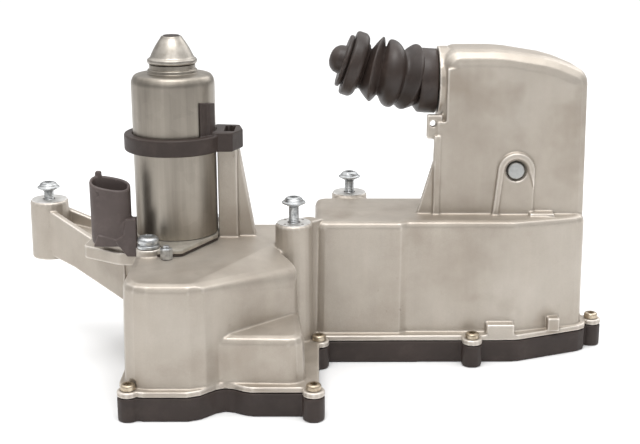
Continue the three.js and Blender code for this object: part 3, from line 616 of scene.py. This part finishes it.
def motor_plate(name, node, z0, z1, shaft_hole, edge, look=None):
    """The motor's foot or its gasket: a round plate with a slanting tab in front and behind."""
    tab = outline([(-97, -8, 4), (-99, -21, 5), (-72, -19, 3), (-55.2, 13, 3), (-55.2, 48, 4),
                   (-66, 50, 5), (-90, 44, 6)])
    front = centre_of("motor_screw_front")
    body = plate(name + "_tab", tab, z0, z1, edge)
    disc = plate(name + "_disc", circle(MOTOR_X, MOTOR_Y, CAN_HOLE_R), z0, z1, edge)
    joined = body.modifiers.new("join", "BOOLEAN")
    joined.operation = "UNION"
    joined.solver = "EXACT"
    joined.object = disc
    apply_modifiers(body)
    bpy.data.objects.remove(disc)
    body.name = name
    holes = [(front[0], front[1], 7.4), (MOTOR_X, MOTOR_Y, shaft_hole),
             (*centre_of("motor_screw_back")[:2], 2.6)]
    tools = [lathe("hole", [(r, z0 - 2), (r, z1 + 2)], upright(x, y), 64) for x, y, r in holes]
    carve(body, *tools)
    finish_piece(body, node, look, angle=28)


motor_plate("motor_flange_fine", "motor_flange", 74.6, 76.9, 8.6, 0.3, ZINC_SHEET)
motor_plate("motor_gasket_fine", "motor_gasket", 73.3, 74.3, 9.0, 0.15)

# -------------------------------------------------------------- strap clamp
band = plate("band", circle(MOTOR_X, MOTOR_Y, 28.6, count=128), 126, 135.5, 0.9)
block = plate("block", outline([(-57, 8.5, 2), (-45.3, 9, 1), (-40, 22, 1.5), (-42.5, 35, 2),
                                (-57, 37, 2)]), 126, 137, 0.7)
can_bore = lathe("bore", [(CAN_HOLE_R, 120), (CAN_HOLE_R, 160)], motor_axis, 128)
slot = plate("slot", outline([(-50.5, 14, 1.2), (-44.6, 14, 1.2), (-44.6, 31, 1.2),
                              (-50.5, 31, 1.2)]), 128.5, 140, 0.4)


def tongue(z0, z1, from_deg, to_deg, inner, outer):
    """A shell round part of the can: its first half is thinner than the second."""
    loops = []
    for z in [z0 + (z1 - z0) * k / 8 for k in range(9)]:
        arc_out, arc_in = [], []
        for k in range(17):
            t = k / 16
            a = math.radians(from_deg + (to_deg - from_deg) * t)
            reach = inner + (outer - inner) * (0.6 if k < 8 else 1.0)
            high = z + (1.5 * (1 - t) if z == z1 else 0)
            arc_out.append((MOTOR_X + reach * math.cos(a), MOTOR_Y + reach * math.sin(a), high))
            arc_in.append((MOTOR_X + inner * math.cos(a), MOTOR_Y + inner * math.sin(a), high))
        loops.append(arc_out + arc_in[::-1])
    return rings("tongue", loops)


strap = merged("strap_clamp_fine", [band, block, tongue(128, 153.2, -47, -19, 23.2, 25.6)])
fused(strap, VOXEL["small"], 0)
carve(strap, can_bore, slot)
relax(strap, 3)
thin_out(strap, 0.4)
apply_modifiers(strap)
finish_piece(strap, "strap_clamp", angle=60)

# ---------------------------------------------------------------- connector
CONN_X, CONN_Y = -113.5, 0
CONN_LONG, CONN_WIDE = 11.3, 7.4  # half the socket's length and width
SQUARE = 2.6                     # 2 is an ellipse, more is squarer


def socket_top(x, y):
    """The mouth slants: lower on the right and in front."""
    return 110.2 - 0.18 * (x - CONN_X) + 0.30 * (y - CONN_Y)


def socket_loop(grow, z=None, drop=0.0, count=72):
    """Rounded-rectangle ring of the shell; without z it follows the slanting mouth."""
    loop = []
    for k in range(count):
        a = TURN * k / count
        c, s = math.cos(a), math.sin(a)
        squarish = (abs(c) ** SQUARE + abs(s) ** SQUARE) ** (-1 / SQUARE)
        x = CONN_X + (CONN_LONG + grow) * squarish * c
        y = CONN_Y + (CONN_WIDE + grow) * squarish * s
        loop.append((x, y, socket_top(x, y) - drop if z is None else z))
    return loop


shell = rings("shell", [
    socket_loop(-1.2, 75.6), socket_loop(-0.2, 77), socket_loop(0, 80), socket_loop(0, 98),
    socket_loop(0, drop=3), socket_loop(0, drop=0.5), socket_loop(-0.5), socket_loop(-1.2),
    socket_loop(-1.7, drop=0.5), socket_loop(-1.8, drop=3), socket_loop(-1.8, 96),
    socket_loop(-1.8, 84)])


def slab(name, points, y0, y1):
    """An upright plate from its (x, z) outline."""
    return rings(name, [[(x, y, z) for x, z in points] for y in (y0, y1)])


foot = slab("foot", [(-122.8, 75.3), (-108.5, 75.3), (-109.5, 79), (-120, 82)], -7.9, -5.0)
wing = slab("wing", [(-110.5, 79), (-104.2, 69.8), (-98.6, 69.8), (-98.6, 91.2),
                     (-104, 91.2), (-106, 82)], -8.6, -6.6)
wing_back = slab("wing_back", [(-110, 76), (-110, 84), (-104, 90.5), (-99.5, 90.5),
                               (-99.5, 76)], -7, 2)
tab = slab("tab", [(-122.6, 100), (-119.2, 100), (-119.2, 115), (-119.8, 115.8), (-122, 115.8),
                   (-122.6, 115)], 4.6, 7.6)
dimple = lathe("dimple", [(1.5, 0), (1.5, 1.9)], along_y(-120.0, -8.4, 105.4), 32)
plug_shell = merged("connector_fine", [shell, foot, wing, wing_back, tab])
fused(plug_shell, VOXEL["small"], 2)
carve(plug_shell, dimple)
thin_out(plug_shell, 0.4)
apply_modifiers(plug_shell)
finish_piece(plug_shell, "connector_shell", angle=50)

# ------------------------------------------------- bellows, discs and dome
ROD_Y = centre_of("thrust_disc")[1]


def hoop(x, z, radius, tilt, yaw, count=96):
    """A circle whose top leans to the right by tilt and whose front turns right by yaw."""
    tip, turn = math.radians(tilt), math.radians(yaw)
    up = Vector((math.sin(tip), 0, math.cos(tip)))
    back = Vector((-math.sin(turn), math.cos(turn), 0))
    middle = Vector((x, ROD_Y, z))
    return [middle + up * radius * math.cos(a) + back * radius * math.sin(a)
            for a in (TURN * k / count for k in range(count))]


# From the tower outwards: middle x and z, radius, tilt, yaw. FOLDS has crests and valleys in turn.
COLLAR = [(72.3, 159.9, 18.3, 1, 0), (71.9, 159.9, 18.9, 1, 0), (66, 160.1, 19.0, 2, 0),
          (62.4, 160.4, 18.9, 3, 1), (61.8, 160.6, 18.4, 4, 2)]
FOLDS = [(60.6, 161.6, 16.4, 8, 8), (58.6, 162.0, 18.2, 12, 14), (56.6, 162.2, 19.6, 15, 16),
         (55.4, 162.3, 19.6, 15, 16), (53.0, 162.1, 17.9, 14, 14), (50.4, 161.9, 15.9, 12.7, 11),
         (48.6, 162.9, 18.2, 10, 9), (46.6, 163.8, 19.6, 8, 8), (44.0, 164.6, 19.7, 7, 5),
         (42.0, 165.2, 18.0, 8, 0), (40.2, 165.7, 14.4, 10, -5), (38.8, 166.2, 17.0, 11, -9),
         (37.6, 166.6, 19.1, 11.7, -11), (36.6, 166.8, 18.9, 12, -11), (33.2, 167.0, 15.4, 15, -8),
         (30.9, 167.0, 12.4, 18, -5), (30.2, 167.1, 12.5, 18, -3)]


def bellows_stations(steps):
    rows = list(COLLAR)
    for i in range(len(FOLDS) - 1):
        around = [FOLDS[max(i - 1, 0)], FOLDS[i], FOLDS[i + 1], FOLDS[min(i + 2, len(FOLDS) - 1)]]
        rows += [spline(*around, k / steps) for k in range(steps)]
    return rows + [FOLDS[-1]]


SKIN = 2.08
LEAST_BORE = 7.6
outer_rows = bellows_stations(3)
inner_rows = [(x, z, max(LEAST_BORE, r - SKIN), tilt, yaw)
              for x, z, r, tilt, yaw in outer_rows[::-1]]
boot = rings("bellows_fine", [hoop(*row) for row in outer_rows + inner_rows], closed=True)
finish_piece(boot, "bellows", angle=60, rides=False)
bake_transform(boot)


def disc_axis(x, z, tilt):
    """Local Z points outwards, away from the tower."""
    return Matrix.Translation((x, ROD_Y, z)) @ Matrix.Rotation(math.radians(tilt - 90), 4, "Y")


BIG_DISC = rounded_profile([
    (5.3, -7.4, 0), (13.2, -7.4, 0.5), (14.0, -6.2, 0.8), (17.4, -5.4, 1.2), (19.2, -3.2, 1.0),
    (19.2, 1.6, 0.5), (18.4, 2.6, 0.5), (5.3, 2.6, 0)])
disc = lathe("thrust_disc_fine", BIG_DISC, disc_axis(23.0, 170.2, 18), 128, closed=True)
finish_piece(disc, "thrust_disc", angle=50)
TIP = rounded_profile([
    (0, -2.6, 0), (13.6, -2.6, 0.2), (13.8, -1.3, 0.2), (15.4, -1.0, 0.3), (15.7, 0.2, 0.3),
    (15.3, 1.2, 0.4), (14.4, 1.4, 0.3),
    (8.9, 1.3, 0.3), (8.5, 2.4, 0.6), (8.0, 5.2, 1.2), (5.8, 7.8, 1.2), (2.8, 9.0, 1.0),
    (0, 9.2, 0)], steps=5)
finish_piece(lathe("tip_cap_fine", TIP, disc_axis(18.6, 171.7, 19), 128), "tip_cap", angle=50)

# ------------------------------------------------------ shafts and bushes
front, back = low_of("cross_pin")[1], high_of("cross_pin")[1]
x, _, z = centre_of("cross_pin")
pin = rounded_profile([(0, 0, 0), (2.0, 0, 0), (4.4, 0, 0.2), (5.0, 0.6, 0.2),
                       (5.0, back - front, 0.5), (0, back - front, 0)])
PIN_STEEL = metal("pin_steel", (0.33, 0.335, 0.33), (0.47, 0.475, 0.465), 0.42)
finish_piece(lathe("cross_pin_fine", pin, along_y(x, front, z), 72), "cross_pin", PIN_STEEL)

AXES = {"x": (0, along_x), "y": (1, along_y), "z": (2, upright)}


def round_bar(node, axis, radius, edge=0.5):
    """A fine cylinder with chamfered ends in place of a faceted one."""
    index, place = AXES[axis]
    low, high, spot = low_of(node), high_of(node), centre_of(node)
    length = high[index] - low[index]
    spot[index] = low[index]
    profile = [(0, 0), (radius - edge, 0), (radius, edge), (radius, length - edge),
               (radius - edge, length), (0, length)]
    finish_piece(lathe(node + "_fine", profile, place(*spot), 64), node, angle=30)


def round_ring(node, axis, inner, outer, edge=0.35, shape=None, groove=0.0):
    """A fine ring with chamfered edges; a groove runs round the middle of its outside."""
    index, place = AXES[axis]
    low, high, spot = low_of(node), high_of(node), centre_of(node)
    length = high[index] - low[index]
    spot[index] = low[index]
    mid = length / 2
    profile = [(inner, edge), (inner + edge, 0), (outer - edge, 0), (outer, edge)]
    if groove:
        profile += [(outer, mid - 2 * groove), (outer - groove, mid - groove),
                    (outer - groove, mid + groove), (outer, mid + 2 * groove)]
    profile += [(outer, length - edge), (outer - edge, length), (inner + edge, length),
                (inner, length - edge)]
    made = lathe(node + "_fine", profile, place(*spot), 96, shape, closed=True)
    finish_piece(made, node, angle=30)


def slotted(count, outer, depth, duty):
    """Slots along the outside of a ring."""
    def shape(angle, r, z):
        return r - depth if r > outer * 0.9 and (angle * count / TURN) % 1 < duty else r
    return shape


round_bar("wheel_axle", "y", 5)
round_bar("crank_pin", "y", 3)
for node in ("capacitor_left", "capacitor_right"):
    round_bar(node, "z", 6, 0.8)
for node in ("rod_bush_left", "rod_bush_right"):
    round_ring(node, "x", 5.2, 6.7)
for node in ("rocker_spacer_front", "rocker_spacer_back"):
    round_ring(node, "y", 5.3, 8)
round_ring("shaft_bearing_lower", "z", 4.2, 8.1, groove=0.5)
round_ring("shaft_bearing_upper", "z", 3.2, 8.3, groove=0.5)
round_ring("armature_core", "z", 3.2, 16, shape=slotted(12, 16, 1.6, 0.22))
for node in ("winding_lower", "winding_upper"):
    round_ring(node, "z", 3.2, 14.5, 1.6, shape=slotted(12, 14.5, 1.2, 0.3))
round_ring("commutator", "z", 3.2, 6.3, shape=slotted(12, 6.3, 0.4, 0.12))
round_ring("brush_holder", "z", 10.4, 21.5, 0.6)

# ------------------------------------------------------------------- spring
SPRING_X = (11.6, 54.6)
ROD_AXIS_Y, ROD_AXIS_Z = 40, 62


def coil_spring():
    """Round wire wound about the thrust rod."""
    wire, coil, turns, steps, sides = 1.7, 9.6, 5, 240, 16
    start, length = SPRING_X[0], SPRING_X[1] - SPRING_X[0]
    loops = []
    for k in range(steps + 1):
        t = k / steps
        a = TURN * turns * t
        out = Vector((0, math.cos(a), math.sin(a)))
        middle = Vector((start + length * t, ROD_AXIS_Y, ROD_AXIS_Z)) + out * coil
        run = Vector((length, 0, 0)) / (TURN * turns)
        run += Vector((0, -math.sin(a), math.cos(a))) * coil
        side = run.cross(out).normalized()
        loops.append([middle + (out * math.cos(b) + side * math.sin(b)) * wire
                      for b in (TURN * j / sides for j in range(sides))])
    return rings("compensation_spring_fine", loops)


spring = coil_spring()
finish_piece(spring, "compensation_spring", angle=50, rides=False)
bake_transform(spring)

# ------------------------------------------------- pieces that stay as made
for node, obj in NODES.items():
    obj.data.materials.clear()
    obj.data.materials.append(LOOKS[SLOT_OF[node]])
    obj.data.shade_smooth()
    obj.data.set_sharp_from_angle(angle=math.radians(32))
BROKEN_EDGES = {                 # width of the softened edge
    0.15: ("terminal_block", "cover_seal", "worm_shaft"),
    0.35: ("magnet_left", "magnet_right", "brush_left", "brush_right", "worm_wheel", "thrust_rod",
           "rocker", "push_rod", "guide_bush", "circuit_board")}
for width, node in ((width, node) for width, nodes in BROKEN_EDGES.items() for node in nodes):
    bevel = NODES[node].modifiers.new("edges", "BEVEL")
    bevel.width = width * MM
    bevel.segments = 2
    bevel.limit_method = "ANGLE"
    bevel.angle_limit = math.radians(40)

# ------------------------------------------------------------- stage, lights
floor_mesh = bpy.data.meshes.new("floor")
FLOOR_HALF, FLOOR_DROP = 6, 0.0002
floor_mesh.from_pydata([(x * FLOOR_HALF, y * FLOOR_HALF, 0)
                        for x, y in ((-1, -1), (1, -1), (1, 1), (-1, 1))], [], [(0, 1, 2, 3)])
floor = linked("floor", floor_mesh)
floor_mesh.materials.append(Look("paper", 0.0, 0.9, (0.82, 0.82, 0.82)).material)
floor.location.z = CAD_BOX[0][2] - FLOOR_DROP

bpy.context.scene.view_settings.view_transform = "Standard"


HORIZON_FRONT, HORIZON_BACK, OVERHEAD = 0.27, 0.50, 1.28


def studio_world():
    """A soft box overhead, with a horizon darker in front of the object than behind it."""
    world = bpy.data.worlds.new("studio")
    bpy.context.scene.world = world
    world.use_nodes = True
    tree = world.node_tree
    toward = tree.nodes.new("ShaderNodeSeparateXYZ")
    tree.links.new(tree.nodes.new("ShaderNodeTexCoord").outputs["Generated"], toward.inputs[0])

    def smooth(value, low, high, at_low, at_high):
        node = tree.nodes.new("ShaderNodeMapRange")
        node.interpolation_type = "SMOOTHSTEP"
        for name, number in zip(("From Min", "From Max", "To Min", "To Max"),
                                (low, high, at_low, at_high)):
            node.inputs[name].default_value = number
        tree.links.new(value, node.inputs["Value"])
        return node.outputs["Result"]

    horizon = smooth(toward.outputs["Y"], -0.9, 0.1, HORIZON_FRONT, HORIZON_BACK)
    overhead = smooth(toward.outputs["Z"], 0.25, 0.85, 0.0, OVERHEAD)
    total = tree.nodes.new("ShaderNodeMath")
    total.operation = "ADD"
    tree.links.new(horizon, total.inputs[0])
    tree.links.new(overhead, total.inputs[1])
    tree.nodes["Background"].inputs["Color"].default_value = (1, 1, 1, 1)
    tree.links.new(total.outputs[0], tree.nodes["Background"].inputs["Strength"])


studio_world()


def area_light(name, place, target, size, watts):
    data = bpy.data.lights.new(name, "AREA")
    data.shape = "RECTANGLE"
    data.size, data.size_y = size
    data.energy = watts
    obj = linked(name, data)
    obj.location = place
    obj.rotation_euler = (Vector(target) - Vector(place)).to_track_quat("-Z", "Y").to_euler()


area_light("key", (0.0, -0.36, 1.30), (-0.02, 0, 0.06), (0.9, 0.6), 9)
area_light("front", (-0.20, -1.00, 0.85), (-0.03, -0.03, 0.05), (0.5, 0.4), 0.9)
area_light("rim", (0.9, 0.9, 0.9), (0, 0, 0.08), (0.8, 0.8), 4)

# ------------------------------------------------------------------- camera
CAMERA_PLACE = (4, -625, 261)
CAMERA_PITCH = 15.5              # degrees below the horizontal
SENSOR = 36
FOCAL_PER_WIDTH = 1150 / 640
camera_data = bpy.data.cameras.new("camera")
camera_data.sensor_width = SENSOR
camera_data.lens = SENSOR * FOCAL_PER_WIDTH
camera = linked("camera", camera_data)
camera.location = Vector(CAMERA_PLACE) * MM
camera.rotation_euler = (math.radians(90 - CAMERA_PITCH), 0, 0)
bpy.context.scene.camera = camera
